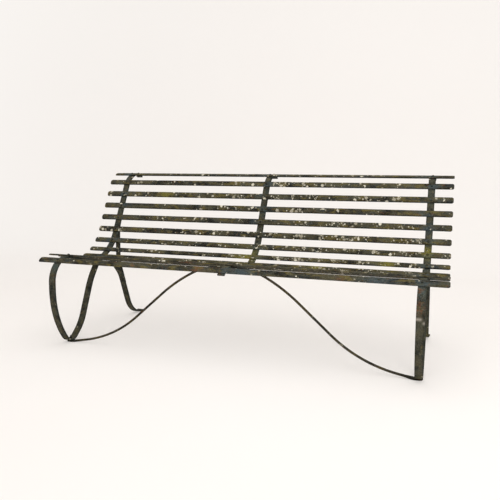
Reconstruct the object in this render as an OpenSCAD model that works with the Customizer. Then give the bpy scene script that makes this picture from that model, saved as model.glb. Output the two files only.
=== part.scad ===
// Strap iron garden bench: two bent end straps and a middle strap carry fifteen slats.
// Each end strap is welded on to a front loop and a rear leg, a brace stands behind each
// end of the back, and an arched stretcher of five welded pieces ties the front feet together.
// X runs along the bench, Y from front to back, Z up. The origin is on the ground,
// under the middle of the bench. Side views are given as [depth, height], with depth
// counted from the front of the front legs.

/* [Slats] */
// Length of each slat
slat_length = 1830; // [1500:10:2200]
// Width of each slat of the back
slat_width = 31; // [26:1:36]
// Width of each slat of the seat
seat_slat_width = 36; // [30:1:40]
// Thickness of each slat at its crown
slat_thickness = 8; // [6:0.5:10]
// Flat land left along the crown of a slat
slat_land = 15; // [14:1:18]
// Height of a slat's upright edge
slat_edge = 3; // [2:0.5:4]
// Radius of a slat's corners, seen from above
slat_corner = 9; // [4:1:12]
// Length of slat beyond the middle of each end strap
slat_overhang = 101; // [70:1:130]
// Spacing of the seat slats along the strap
seat_pitch = 72; // [68:1:76]
// Distance along the strap from the start of the front roll to the front slat
front_slat_run = 74.5; // [66:0.5:84]
// How much further down the roll the front slat lies than its spacing gives
front_slat_slip = 4; // [0:0.5:12]

/* [Straps] */
// Width of the end straps
strap_width = 33; // [30:1:42]
// Width of the middle strap
middle_width = 33; // [28:1:42]
// Thickness of the straps and braces
strap_thickness = 8; // [6:0.5:10]
// Strap left beyond the rearmost slat
curl_tail = 22; // [16:1:40]
// Middle strap left beyond the front slat
nose_length = 22; // [14:1:40]

/* [Seat and back] */
// Height of the strap's middle line at the crest of the seat
seat_height = 413; // [390:1:440]
// Height of the strap's middle line at the top of the curl
back_height = 800; // [770:1:840]
// Distance from the front leg back to the corner of seat and back
seat_depth = 477; // [460:1:500]
// Fall of the seat towards the back, in degrees
seat_slope = 13; // [9:0.5:16]
// Lean of the back from upright, in degrees
back_rake = 27; // [22:0.5:32]
// Radius of the curl at the top
curl_radius = 113; // [95:1:130]
// Downward slope of the end of the curl, in degrees
curl_fall = 28; // [20:1:40]
// Radius of the bend from seat to back
bend_radius = 240; // [210:5:260]
// Radius of the roll at the front of the seat
roll_radius = 106; // [90:1:120]

/* [Legs] */
// Height of the corner at which the front leg slants back
knee_height = 138; // [122:1:150]
// Largest radius of the sweep of the front leg
knee_radius = 426; // [300:2:440]
// Radius of the loop at the floor
loop_radius = 52; // [44:1:60]
// Distance from the front leg back to the first corner of the loop's rear arm
arm_depth = 216; // [205:1:230]
// Height of that corner
arm_height = 70; // [60:1:85]
// Radius of that corner
arm_radius = 200; // [120:5:220]
// Length of the leaning top of the rear arm
lean_length = 101; // [90:1:110]
// Slope of the leaning top, in degrees
lean_slope = 52; // [46:1:56]
// Radius of the bend below the leaning top
lean_radius = 326; // [200:2:340]
// Distance from the arm's last corner to where the arch touches the seat
arch_lead = 44; // [38:1:60]
// Largest radius of the bend into the arch
arch_lead_radius = 98; // [60:2:110]
// Slope of the arch as it falls away behind the seat, in degrees
arch_fall = 45; // [41:1:50]
// Largest radius of the arch
arch_radius = 104; // [60:2:110]
// Distance of the rear leg's knee behind the corner of seat and back
rear_knee_back = 127; // [120:1:140]
// Drop from where the arch touches the seat to the rear leg's knee
rear_knee_drop = 111; // [100:1:130]
// Radius of the rear leg's knee
rear_knee_radius = 150; // [100:5:180]
// Distance of the rear foot's tip behind the corner of seat and back
foot_reach = 348; // [330:1:380]
// Length of the rear foot, from the corner of its bend to the tip
foot_length = 113; // [105:1:130]
// Largest radius of the bend into the rear foot
foot_radius = 150; // [100:2:170]
// Width of the spread tip of the rear foot
foot_width = 43; // [43:1:52]
// Length over which the tip of the rear foot spreads
foot_spread = 40; // [25:1:50]
// Distance down the front leg from the roll to the weld that joins the loop's bar
leg_weld_run = 28; // [16:1:40]
// Distance along the loop's bar from its rivet to the weld on the rear arm
arm_weld_run = 64; // [56:1:72]

/* [Braces] */
// Width of the back braces
brace_width = 25; // [22:1:30]
// Brace left above its upper rivet
brace_top = 18; // [15:1:24]
// Distance from that rivet down to the brace's upper corner
brace_bend = 53; // [50:1:60]
// Radius of the brace's corners
brace_radius = 145; // [90:5:160]
// Distance along the rear leg from its knee to the lower rivet
brace_drop = 46; // [42:1:60]
// Brace left below its lower rivet
brace_tail = 15; // [12:1:24]

/* [Stretcher] */
// Diameter of the rod
rod_diameter = 11; // [9:0.5:13]
// Width of the flattened palm under each front foot
palm_width = 32; // [28:1:36]
// Thickness of the palm
palm_thickness = 6; // [5:0.5:8]
// Palm beyond the middle of the end strap
palm_toe = 16; // [14:1:30]
// Palm left between the bend at the foot and the drawn out part
palm_heel = 9; // [8:1:20]
// Length over which the palm is drawn out to the round rod
palm_taper = 28; // [20:1:60]
// Length of the shallow rise from the foot
toe_run = 220; // [210:1:260]
// Height gained by the shallow rise
toe_rise = 40; // [36:1:50]
// Largest radius of the sweep up from the foot
toe_radius = 570; // [300:10:600]
// Half length of the level crown under the seat
crown_half = 116; // [110:1:130]
// Length of the shoulder between the crown and the steep run
shoulder_run = 136; // [125:1:150]
// Height lost along the shoulder
shoulder_drop = 74; // [66:1:84]
// Largest radius of the sweep into the shoulder
shoulder_radius = 760; // [400:10:900]
// Radius of the bend into the crown
crown_radius = 255; // [150:5:265]
// Length of the flattened pad under the middle strap
pad_length = 30; // [24:1:36]
// Width of that pad
pad_width = 17; // [14:1:22]
// Thickness of that pad
pad_thickness = 7; // [6:0.5:9]
// Length over which the rod is flattened into the pad
pad_taper = 18; // [12:1:26]
// Round rod left between a foot's drawn out part and the weld behind it
foot_weld_run = 16; // [10:1:24]
// Distance from the shoulder down the rod to the weld of the crown
crown_weld_run = 141; // [120:1:170]

/* [Rivets] */
// Diameter of a rivet's shank
rivet_diameter = 8; // [6:0.5:9]
// Diameter of a rivet's domed head
rivet_head = 13; // [12:0.5:14]
// Height of the domed head
rivet_head_height = 4.5; // [3:0.5:6]
// Diameter of the hammered tail
rivet_tail = 12; // [11:0.5:14]
// Height of the hammered tail
rivet_tail_height = 3.5; // [2:0.5:4]
// Diameter of a foot rivet's sunk head
sunk_head = 15; // [13:0.5:17]
// Height of the pointed top of a foot rivet
foot_point = 16; // [8:1:20]

/* [Fits] */
// Clearance round a shank in its hole
hole_clearance = 0.25; // [0.15:0.05:0.5]
// Gap between two pieces that lie on each other
seat_gap = 0.2; // [0.1:0.05:0.3]

/* [Hidden] */
$fn = 48;
// Slats on the back and on the seat, numbered from the rear of the curl
back_slats = 9;
seat_slats = 6;
slat_count = back_slats + seat_slats;
// Back slats below the one whose end rivets also hold the braces
slats_below_brace = 3;
// Index of that slat, and of the slat whose middle rivet also holds the stretcher
brace_slat = back_slats - slats_below_brace - 1;
pad_slat = slat_count - 2;
// Longest flat and largest turn between two points of a bend
facet_length = 14;
facet_turn = 5;
// Sides of a full turn of the rod's bends, and of the rod's own round
bend_sides = 240;
rod_sides = 32;
// Straight left between two bends that are drawn to their limit
bend_rest = 1;
// Overlap of two solids that are joined into one
joint_overlap = 0.4;
// How much thinner than the straight pieces of the rod its bends are, and how much thinner the
// necks of its drawn out pieces are, so that they nest in the straight pieces
rod_step = 0.1;
neck_step = 1.2;
// Length by which a drill runs past the faces it cuts
drill_past = 2;
// Points along the rounded edge of a slat and along a rivet's dome
edge_steps = 4;
dome_steps = 4;
// Bevel along a slat's lower edges
slat_bevel = 1;
// Depth of a foot rivet's sunk head
sunk_depth = 3.5;
// Radius of the bend where a palm leaves the floor
heel_radius = 40;
// Width of a hammered tail's flat, as a share of its diameter
tail_flat = 0.7;

paint_strap = "#2f3530";
paint_slat = "#3b3d31";
paint_rod = "#33342c";
paint_rivet = "#2a2d2a";

// Distance and direction in degrees from point a to point b
function distance(a, b) = norm([b[0] - a[0], b[1] - a[1]]);
function heading(a, b) = atan2(b[1] - a[1], b[0] - a[0]);

// The same angle between -180 and 180
function wrapped(angle) = angle - 360 * floor((angle + 180) / 360);

// Point at a distance from p along a direction
function ahead(p, angle, length) = [p[0] + length * cos(angle), p[1] + length * sin(angle)];

// Crossing of the line through p at angle a with the line through q at angle b
function crossing(p, a, q, b) =
    ahead(p, a, ((q[0] - p[0]) * sin(b) - (q[1] - p[1]) * cos(b)) / sin(b - a));

// Length that a bend of the given radius and turn takes from each side of its corner
function setback(radius, turn) = radius * tan(abs(turn) / 2);

// Wanted radius, or the largest that leaves its bend within the given length
function fitted(radius, turn, length) =
    min(radius, max(length - bend_rest, bend_rest) / tan(abs(turn) / 2));

// Arc at corner i of a list of [depth, height, radius]: centre, radius, first direction, turn
function corner_arc(c, i) =
    let (h = heading(c[i - 1], c[i]), turn = wrapped(heading(c[i], c[i + 1]) - h),
         start = ahead(c[i], h, -setback(c[i][2], turn)))
    [ahead(start, h + sign(turn) * 90, c[i][2]), c[i][2], h, turn];

// Point on an arc where the direction of travel is h, with that direction
function arc_point(arc, h) =
    let (p = ahead(arc[0], h - sign(arc[3]) * 90, arc[1])) [p[0], p[1], h];

// Points of one rounded corner
function arc_points(arc) =
    let (turn = abs(arc[3]), length = arc[1] * turn * PI / 180,
         n = max(2, ceil(max(length / facet_length, turn / facet_turn))))
    [for (k = [0:n]) arc_point(arc, arc[2] + arc[3] * k / n)];

// Rounded path through corners: points with their direction
function rounded_path(c) =
    let (last = len(c) - 1)
    concat(
        [[c[0][0], c[0][1], heading(c[0], c[1])]],
        [for (i = [1:last - 1]) each arc_points(corner_arc(c, i))],
        [[c[last][0], c[last][1], heading(c[last - 1], c[last])]]
    );

// Length travelled at each point of a path
function lengths(path) = [
    for (i = 0, s = 0; i < len(path);
         i = i + 1, s = i < len(path) ? s + distance(path[i - 1], path[i]) : s) s
];

// Point and direction at length s along a path
function along(path, s) =
    let (run = lengths(path),
         i = max([for (k = [0:len(path) - 2]) if (k == 0 || run[k] <= s) k]),
         t = (s - run[i]) / (run[i + 1] - run[i]), a = path[i], b = path[i + 1])
    [a[0] + t * (b[0] - a[0]), a[1] + t * (b[1] - a[1]), a[2] + t * wrapped(b[2] - a[2])];

// Length along a path at its point nearest to p
function length_near(path, p) =
    let (gaps = [for (q = path) distance(p, q)])
    lengths(path)[search(min(gaps), gaps)[0]];

// The part of a path before or after length s
function path_until(path, s) =
    let (run = lengths(path))
    concat([for (k = [0:len(path) - 1]) if (run[k] < s) path[k]], [along(path, s)]);
function path_from(path, s) =
    let (run = lengths(path))
    concat([along(path, s)], [for (k = [0:len(path) - 1]) if (run[k] > s) path[k]]);

// The part of a path between lengths a and b
function path_between(path, a, b) = path_from(path_until(path, b), a);

// Point beside a path: a positive offset is to the right of travel
function beside(p, offset) = ahead(p, p[2] - 90, offset);

// Outline of a bar of the given thickness along a path
function bar_outline(path, thickness) = concat(
    [for (p = path) beside(p, thickness / 2)],
    [for (i = [len(path) - 1:-1:0]) beside(path[i], -thickness / 2)]
);

// Distance to which a bar's face rises beside its path, within reach of length s.
// A flat piece laid against a hollow face rests on its edges at this distance.
function face_rise(path, s, offset, reach) =
    let (p = along(path, s), run = lengths(path),
         near = [for (k = [0:len(path) - 1]) if (abs(run[k] - s) < reach) path[k]])
    max([for (q = concat([along(path, s - reach), along(path, s + reach), p], near))
        let (f = beside(q, offset))
        sign(offset) * ((f[0] - p[0]) * sin(p[2]) - (f[1] - p[1]) * cos(p[2]))]);

// Lines and levels that the straps share
end_x = slat_length / 2 - slat_overhang;
strap_half = strap_thickness / 2;
front_line = strap_half;
bend_line = front_line + seat_depth;
foot_end = bend_line + foot_reach;
back_angle = -90 - back_rake;
seat_angle = 180 - seat_slope;

// Corners of the seat and back
roll_turn = wrapped(-90 - seat_angle);
roll_corner = [
    front_line,
    seat_height + roll_radius * (tan(seat_slope) + 1 / cos(seat_slope) - 1),
    roll_radius
];
bend_corner = [bend_line, roll_corner[1] - seat_depth * tan(seat_slope), bend_radius];
curl_side = ahead(bend_corner, -back_rake, curl_radius);
curl_centre = crossing(curl_side, back_angle, [0, back_height - curl_radius], 0);
curl_end = ahead(curl_centre, 90 - curl_fall, curl_radius);
curl_cross = crossing(bend_corner, back_angle, curl_end, -curl_fall);
curl_tip = ahead(curl_end, -curl_fall, joint_overlap);
curl_corner = [curl_cross[0], curl_cross[1], curl_radius];
knee = [front_line, knee_height];
upper_path = rounded_path([curl_tip, curl_corner, bend_corner, roll_corner, knee]);

// The front slat lies on the roll and the seat slats follow it at their spacing. The back
// slats share the rest of the strap, up to its curled end.
roll_start = ahead(roll_corner, seat_angle, -setback(roll_radius, roll_turn));
front_place = length_near(upper_path, roll_start) + front_slat_run;
seat_place = front_place - seat_pitch * (seat_slats - 1);
back_pitch = (seat_place - curl_tail) / back_slats;

// Width of slat i
function width_of(i) = i < back_slats ? slat_width : seat_slat_width;

// Place of slat i along that path, with its point and direction
function slat_place(i) =
    curl_tail + back_pitch * min(i, back_slats) + seat_pitch * max(0, i - back_slats)
    + (i == slat_count - 1 ? front_slat_slip : 0);
slat_frames = [for (i = [0:slat_count - 1]) along(upper_path, slat_place(i))];

// The pad in the middle of the stretcher lies under the strap at the rivet of one slat,
// and the loops at the front feet come down to the floor straight below it
pad_drop = face_rise(upper_path, slat_place(pad_slat), -strap_half, pad_width / 2) + seat_gap;
pad_centre = beside(slat_frames[pad_slat], -pad_drop - pad_thickness / 2);
stretcher_line = pad_centre[0];
loop_bottom = palm_thickness + seat_gap + strap_half;
loop_centre = [stretcher_line, loop_bottom + loop_radius];

// The arch lies under the seat at the rivet of the rearmost seat slat
touch = beside(slat_frames[back_slats], -strap_thickness - seat_gap);
touch_angle = wrapped(slat_frames[back_slats][2] - 180);

// Front leg, loop and rear arm: the loop's circle touches the two slanting lines
leg_angle = heading(knee, loop_centre) - asin(loop_radius / distance(knee, loop_centre));
arm_corner = [front_line + arm_depth, arm_height, arm_radius];
arm_angle = heading(loop_centre, arm_corner)
    + asin(loop_radius / distance(loop_centre, arm_corner));
loop_cross = crossing(knee, leg_angle, arm_corner, arm_angle);
knee_turn = leg_angle + 90;
knee_space = min(
    roll_corner[1] - knee_height - setback(roll_radius, roll_turn),
    distance(knee, loop_cross) - setback(loop_radius, arm_angle - leg_angle)
);
arch_start = ahead(touch, touch_angle, -arch_lead);
lean_start = ahead(arch_start, lean_slope, -lean_length);

// Arch, rear leg and foot
rear_knee = [bend_line + rear_knee_back, touch[1] - rear_knee_drop, rear_knee_radius];
arch_top = crossing(touch, touch_angle, rear_knee, -arch_fall);
foot_corner = [foot_end - foot_length, strap_half];
rear_leg_angle = heading(rear_knee, foot_corner);

// Path of one end of the bench, from the curl to the tip of the rear foot
end_path = rounded_path([
    curl_tip, curl_corner, bend_corner, roll_corner,
    [knee[0], knee[1], fitted(knee_radius, knee_turn, knee_space)],
    [loop_cross[0], loop_cross[1], loop_radius],
    arm_corner,
    [lean_start[0], lean_start[1], lean_radius],
    [arch_start[0], arch_start[1],
        fitted(arch_lead_radius, lean_slope - touch_angle, arch_lead - rivet_tail / 2)],
    [arch_top[0], arch_top[1],
        fitted(arch_radius, touch_angle + arch_fall, distance(touch, arch_top))],
    rear_knee,
    [foot_corner[0], foot_corner[1], fitted(foot_radius, rear_leg_angle, foot_length)],
    [foot_end, strap_half]
]);
middle_path = path_until(upper_path, slat_place(slat_count - 1) + nose_length);

// Lengths along that path at its two welds, which join three bars into one
roll_end = ahead(roll_corner, -90, setback(roll_radius, roll_turn));
leg_weld = length_near(end_path, roll_end) + leg_weld_run;
arm_weld = length_near(end_path, [stretcher_line, loop_bottom]) + arm_weld_run;
foot_path = path_from(end_path, lengths(end_path)[len(end_path) - 1] - foot_spread);

// Path of a brace, down behind the back strap and then behind the rear leg
lap_offset = strap_thickness + seat_gap;
brace_upper = beside(along(upper_path, slat_place(brace_slat) + brace_bend), -lap_offset);
lap_line = ahead(rear_knee, rear_leg_angle + 90, lap_offset);
brace_lower = crossing(brace_upper, -90, lap_line, rear_leg_angle);
brace_path = rounded_path([
    beside(along(upper_path, slat_place(brace_slat) - brace_top), -lap_offset),
    [brace_upper[0], brace_upper[1], brace_radius],
    [brace_lower[0], brace_lower[1], brace_radius],
    ahead(lap_line, rear_leg_angle, brace_drop + brace_tail)
]);
brace_rivet_point = ahead(rear_knee, rear_leg_angle, brace_drop);
brace_rivet_frame = [brace_rivet_point[0], brace_rivet_point[1], rear_leg_angle];

// Half the line of the stretcher, from a palm to the middle of the bench, as [x, height]
palm_half = palm_thickness / 2;
rise_angle = 180 - atan2(toe_rise, toe_run);
palm_bend = [
    end_x - strap_width / 2 - setback(heel_radius, 180 - rise_angle), palm_half, heel_radius
];
palm_end = ahead(palm_bend, rise_angle, palm_heel);
rod_start = ahead(palm_end, rise_angle, palm_taper);
toe_corner = ahead(palm_bend, rise_angle, norm([toe_run, toe_rise]));
crown_corner = [crown_half, pad_centre[1], crown_radius];
shoulder = [crown_half + shoulder_run, pad_centre[1] - shoulder_drop];
steep_angle = heading(toe_corner, shoulder);
shoulder_angle = heading(shoulder, crown_corner);
shoulder_space = distance(shoulder, crown_corner)
    - setback(crown_radius, 180 - shoulder_angle);
rod_end = [pad_length / 2 + pad_taper, pad_centre[1]];
toe_bend = [
    toe_corner[0], toe_corner[1],
    fitted(toe_radius, rise_angle - steep_angle,
        distance(rod_start, toe_corner) - foot_weld_run - seat_gap)
];
shoulder_bend = [
    shoulder[0], shoulder[1],
    fitted(shoulder_radius, steep_angle - shoulder_angle,
        min(shoulder_space, crown_weld_run - seat_gap))
];

// Welds of the stretcher: behind each foot, and between the steep run and the crown
foot_weld = ahead(rod_start, rise_angle, foot_weld_run);
crown_weld = ahead(shoulder, steep_angle, -crown_weld_run);

// Slat faces: heights above the middle line of the strap, at slat i
function slat_floor(i) =
    face_rise(upper_path, slat_place(i), strap_half, width_of(i) / 2) + seat_gap;
function slat_crown(i) = slat_floor(i) + slat_thickness;

// Depth below the middle line of the strap at which the tail of slat i's rivet starts:
// at the ends it passes the brace or the arch, in the middle the stretcher's pad
function tail_depth(i, at_end) = seat_gap + (
    at_end && (i == brace_slat || i == back_slats) ? lap_offset + strap_half
    : !at_end && i == pad_slat ? pad_drop + pad_thickness
    : face_rise(upper_path, slat_place(i), -strap_half, rivet_tail / 2)
);

// Section of a slat of the given width: flat below, a flat land on the crown, rounded sides
function slat_section(width) =
    let (half = width / 2, land = slat_land / 2, rise = slat_thickness - slat_edge,
         side = [for (k = [0:edge_steps]) let (a = 90 * k / edge_steps)
             [land + (half - land) * cos(a), slat_edge + rise * sin(a)]])
    concat(
        [[slat_bevel - half, 0], [half - slat_bevel, 0], [half, slat_bevel]],
        side,
        [for (k = [edge_steps:-1:0]) [-side[k][0], side[k][1]]],
        [[-half, slat_bevel]]
    );

// Overall depth: the foot's end, the curl's end or the edge of the rearmost slat reaches furthest
bench_depth = max(concat(
    [foot_end, beside(upper_path[0], strap_half)[0]],
    [for (q = slat_section(width_of(0)))
        slat_frames[0][0] - cos(slat_frames[0][2]) * q[0]
            + sin(slat_frames[0][2]) * (slat_floor(0) + q[1])]
));

// Puts children drawn along X, with Z out of the strap's face, at a frame of the side view
module at_frame(p, x = 0) {
    translate([x, p[0] - bench_depth / 2, p[1]]) rotate([p[2] + 180, 0, 0]) children();
}

// Extrudes an outline of the side view along the bench, centred on x
module side_bar(outline, width, x = 0) {
    translate([x - width / 2, -bench_depth / 2, 0])
        rotate([90, 0, 90])
            linear_extrude(width) polygon(outline);
}

// Hole for a rivet's shank along Z, from depth low to height high
module rivet_hole(low, high) {
    translate([0, 0, -low]) cylinder(d = rivet_diameter + 2 * hole_clearance, h = low + high);
}

// Outline of a slat of the given width seen from above, with rounded corners
module slat_plan(width) {
    along_x = slat_length / 2 - slat_corner;
    along_y = width / 2 - slat_corner;
    square([2 * along_x, width], center = true);
    square([slat_length, 2 * along_y], center = true);
    for (x = [-along_x, along_x], y = [-along_y, along_y]) translate([x, y]) circle(slat_corner);
}

// Slat i, drilled for its three rivets, lying on the straps
module slat(i) {
    color(paint_slat)
        at_frame(slat_frames[i])
            translate([0, 0, slat_floor(i)])
                difference() {
                    intersection() {
                        translate([-slat_length / 2, 0, 0])
                            rotate([90, 0, 90])
                                linear_extrude(slat_length)
                                    polygon(slat_section(width_of(i)));
                        translate([0, 0, -drill_past])
                            linear_extrude(slat_thickness + 2 * drill_past)
                                slat_plan(width_of(i));
                    }
                    for (x = [-end_x, 0, end_x])
                        translate([x, 0, 0]) rivet_hole(drill_past, slat_thickness + drill_past);
                }
}

// Tip of a rear foot, spreading from the strap's width to the foot's
module foot_tip(x) {
    first = foot_path[0][0];
    intersection() {
        side_bar(bar_outline(foot_path, strap_thickness), foot_width, x);
        translate([x, -bench_depth / 2, -drill_past])
            linear_extrude(foot_reach)
                polygon([
                    [-strap_width / 2, first - strap_thickness],
                    [strap_width / 2, first - strap_thickness],
                    [foot_width / 2, foot_end], [-foot_width / 2, foot_end]
                ]);
    }
}

// One end strap: curl, back, seat and the top of the front leg, down to its weld
module end_strap(x) {
    color(paint_strap)
        difference() {
            side_bar(
                bar_outline(path_until(end_path, leg_weld - seat_gap / 2), strap_thickness),
                strap_width, x
            );
            for (frame = slat_frames)
                at_frame(frame, x) rivet_hole(strap_half + drill_past, strap_half + drill_past);
        }
}

// One front leg with its loop on the floor, between the two welds
module front_loop(x) {
    path = path_between(end_path, leg_weld + seat_gap / 2, arm_weld - seat_gap / 2);
    color(paint_strap)
        difference() {
            side_bar(bar_outline(path, strap_thickness), strap_width, x);
            translate([x, stretcher_line - bench_depth / 2, loop_bottom])
                rivet_hole(strap_half + drill_past, strap_half + drill_past);
        }
}

// One rear arm, arch, rear leg and foot
module rear_leg(x) {
    path = path_from(end_path, arm_weld + seat_gap / 2);
    color(paint_strap)
        difference() {
            union() {
                side_bar(bar_outline(path, strap_thickness), strap_width, x);
                foot_tip(x);
            }
            at_frame(slat_frames[back_slats], x)
                rivet_hole(lap_offset + strap_half + drill_past, 0);
            at_frame(brace_rivet_frame, x)
                rivet_hole(strap_half + drill_past, strap_half + drill_past);
        }
}

// The middle strap: curl, back, seat and a short roll over the front
module middle_strap() {
    color(paint_strap)
        difference() {
            side_bar(bar_outline(middle_path, strap_thickness), middle_width);
            for (frame = slat_frames)
                at_frame(frame) rivet_hole(strap_half + drill_past, strap_half + drill_past);
        }
}

// One brace from the back strap down to the rear leg
module back_brace(x) {
    color(paint_strap)
        difference() {
            side_bar(bar_outline(brace_path, strap_thickness), brace_width, x);
            for (frame = [slat_frames[brace_slat], brace_rivet_frame])
                at_frame(frame, x) rivet_hole(lap_offset + strap_half + drill_past, 0);
        }
}

// Puts children drawn in the plane of the stretcher upright at its depth
module in_stretcher_plane() {
    translate([0, stretcher_line - bench_depth / 2, 0]) rotate([90, 0, 0]) children();
}

// Neck of a drawn out piece from point p of the rod's plane, going a short length along an angle
module rod_neck(p, angle, length) {
    translate([p[0], p[1], 0])
        rotate([0, 90, angle])
            cylinder(d = rod_diameter - neck_step, h = length, $fn = rod_sides);
}

// Straight piece of the rod from p to q
module rod_straight(p, q) {
    translate([p[0], p[1], 0])
        rotate([0, 90, heading(p, q)])
            cylinder(d = rod_diameter, h = distance(p, q), $fn = rod_sides);
}

// Bent piece of the rod along an arc, reaching a little into the straight pieces beside it
module rod_bend(arc) {
    first = arc[2] - sign(arc[3]) * 90;
    reach = atan(joint_overlap / arc[1]);
    translate([arc[0][0], arc[0][1], 0])
        rotate([0, 0, min(first, first + arc[3]) - reach])
            rotate_extrude(angle = abs(arc[3]) + 2 * reach, $fn = bend_sides)
                translate([arc[1], 0])
                    circle(d = rod_diameter - rod_step, $fn = rod_sides);
}

// Rod along a list of corners
module rod(c) {
    arcs = [for (i = [1:len(c) - 2]) corner_arc(c, i)];
    starts = concat([c[0]], [for (arc = arcs) arc_point(arc, arc[2] + arc[3])]);
    ends = concat([for (arc = arcs) arc_point(arc, arc[2])], [c[len(c) - 1]]);
    for (i = [0:len(starts) - 1]) rod_straight(starts[i], ends[i]);
    for (arc = arcs) rod_bend(arc);
}

// Flattened palm with a round toe
module palm() {
    tip = end_x + palm_toe;
    toe_centre = tip - palm_width / 2;
    path = rounded_path([[tip, palm_half], palm_bend, palm_end]);
    intersection() {
        translate([0, 0, -palm_width / 2])
            linear_extrude(palm_width) polygon(bar_outline(path, palm_thickness));
        rotate([90, 0, 0])
            translate([0, 0, -toe_rise])
                linear_extrude(2 * toe_rise) {
                    translate([toe_centre, 0]) circle(d = palm_width);
                    translate([rod_start[0], -palm_width / 2])
                        square([toe_centre - rod_start[0], palm_width]);
                }
    }
}

// Block of the pad's section, reaching the given length to both sides, lying as the strap does
module pad_block(half_length) {
    translate([0, pad_centre[1], 0])
        rotate([slat_frames[pad_slat][2] - 180, 0, 0])
            cube([2 * half_length, pad_thickness, pad_width], center = true);
}

// Cone of a sunk head, widened by a clearance and carried on below the floor by a length
module sunk_cone(clearance, below) {
    rotate_extrude()
        polygon([
            [0, -below], [sunk_head / 2 + clearance, -below], [sunk_head / 2 + clearance, 0],
            [rivet_diameter / 2 + clearance, sunk_depth], [0, sunk_depth]
        ]);
}

// One foot of the stretcher: the palm under a loop, drawn out to the start of the rod
module stretcher_foot() {
    color(paint_rod)
        difference() {
            in_stretcher_plane() {
                palm();
                hull() {
                    translate([palm_end[0], palm_end[1], 0])
                        rotate([0, 0, rise_angle])
                            translate([-joint_overlap, -palm_half, -palm_width / 2])
                                cube([2 * joint_overlap, palm_thickness, palm_width]);
                    rod_neck(rod_start, rise_angle, joint_overlap);
                }
                rod_straight(
                    ahead(rod_start, rise_angle, joint_overlap / 2),
                    ahead(foot_weld, rise_angle, -seat_gap / 2)
                );
            }
            translate([end_x, stretcher_line - bench_depth / 2, 0]) {
                rivet_hole(drill_past, palm_thickness + drill_past);
                sunk_cone(hole_clearance, drill_past);
            }
        }
}

// The rod that sweeps up from a foot to the crown
module stretcher_rod() {
    color(paint_rod)
        in_stretcher_plane()
            rod([
                ahead(foot_weld, rise_angle, seat_gap / 2), toe_bend,
                ahead(crown_weld, steep_angle, -seat_gap / 2)
            ]);
}

// One side of the crown, from its weld to the pad
module crown_side() {
    in_stretcher_plane() {
        rod([
            ahead(crown_weld, steep_angle, seat_gap / 2), shoulder_bend, crown_corner,
            ahead(rod_end, 0, joint_overlap / 2)
        ]);
        hull() {
            rod_neck(rod_end, 0, joint_overlap);
            translate([pad_length / 2, 0, 0]) pad_block(joint_overlap);
        }
    }
}

// The crown of the stretcher, flattened into a pad under the middle strap
module stretcher_crown() {
    color(paint_rod)
        difference() {
            union() {
                crown_side();
                mirror([1, 0, 0]) crown_side();
                in_stretcher_plane() pad_block(pad_length / 2);
            }
            at_frame(slat_frames[pad_slat])
                rivet_hole(pad_drop + pad_thickness + drill_past, 0);
        }
}

// Dome of a head above a height, as points from its rim to its top
function dome(diameter, height, base) = [
    for (k = [0:dome_steps]) let (a = 90 * k / dome_steps)
        [diameter / 2 * cos(a), base + height * sin(a)]
];

// Rivet along Z with its domed head above height high and its hammered tail below depth low
module rivet(low, high) {
    color(paint_rivet)
        rotate_extrude()
            polygon(concat(
                [
                    [0, -low - rivet_tail_height],
                    [rivet_tail / 2 * tail_flat, -low - rivet_tail_height],
                    [rivet_tail / 2, -low - rivet_tail_height / 2],
                    [rivet_tail / 2, -low], [rivet_diameter / 2, -low],
                    [rivet_diameter / 2, high]
                ],
                dome(rivet_head, rivet_head_height, high)
            ));
}

// The rivets of all slats at one strap
module slat_rivets(x) {
    for (i = [0:slat_count - 1])
        at_frame(slat_frames[i], x) rivet(tail_depth(i, x != 0), slat_crown(i) + seat_gap);
}

// The rivets that hold the braces to the rear legs, heads behind
module brace_rivets() {
    for (x = [-end_x, end_x])
        at_frame(brace_rivet_frame, x)
            rotate([180, 0, 0])
                rivet(strap_half + seat_gap, lap_offset + strap_half + seat_gap);
}

// Height to which the loop's hollow face rises under the edge of a foot rivet's top
function loop_seat() =
    let (inner = loop_radius - strap_half)
    seat_gap + inner - sqrt(inner * inner - rivet_head * rivet_head / 4);

// The rivets through palms and loops, sunk below and pointed above
module foot_rivets() {
    top = loop_bottom + strap_half + loop_seat();
    color(paint_rivet)
        for (x = [-end_x, end_x])
            translate([x, stretcher_line - bench_depth / 2, 0])
                rotate_extrude()
                    polygon([
                        [0, seat_gap], [sunk_head / 2 - seat_gap, seat_gap],
                        [rivet_diameter / 2, sunk_depth], [rivet_diameter / 2, top],
                        [rivet_head / 2, top], [rivet_diameter / 2, top + foot_point / 2],
                        [0, top + foot_point]
                    ]);
}

module left_end_strap() { end_strap(-end_x); }
module right_end_strap() { end_strap(end_x); }
module left_front_loop() { front_loop(-end_x); }
module right_front_loop() { front_loop(end_x); }
module left_rear_leg() { rear_leg(-end_x); }
module right_rear_leg() { rear_leg(end_x); }
module left_back_brace() { back_brace(-end_x); }
module right_back_brace() { back_brace(end_x); }
module left_stretcher_foot() { mirror([1, 0, 0]) stretcher_foot(); }
module right_stretcher_foot() { stretcher_foot(); }
module left_stretcher_rod() { mirror([1, 0, 0]) stretcher_rod(); }
module right_stretcher_rod() { stretcher_rod(); }
module left_slat_rivets() { slat_rivets(-end_x); }
module middle_slat_rivets() { slat_rivets(0); }
module right_slat_rivets() { slat_rivets(end_x); }
module back_slat_1() { slat(0); }
module back_slat_2() { slat(1); }
module back_slat_3() { slat(2); }
module back_slat_4() { slat(3); }
module back_slat_5() { slat(4); }
module back_slat_6() { slat(5); }
module back_slat_7() { slat(6); }
module back_slat_8() { slat(7); }
module back_slat_9() { slat(8); }
module seat_slat_1() { slat(9); }
module seat_slat_2() { slat(10); }
module seat_slat_3() { slat(11); }
module seat_slat_4() { slat(12); }
module seat_slat_5() { slat(13); }
module seat_slat_6() { slat(14); }

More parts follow.
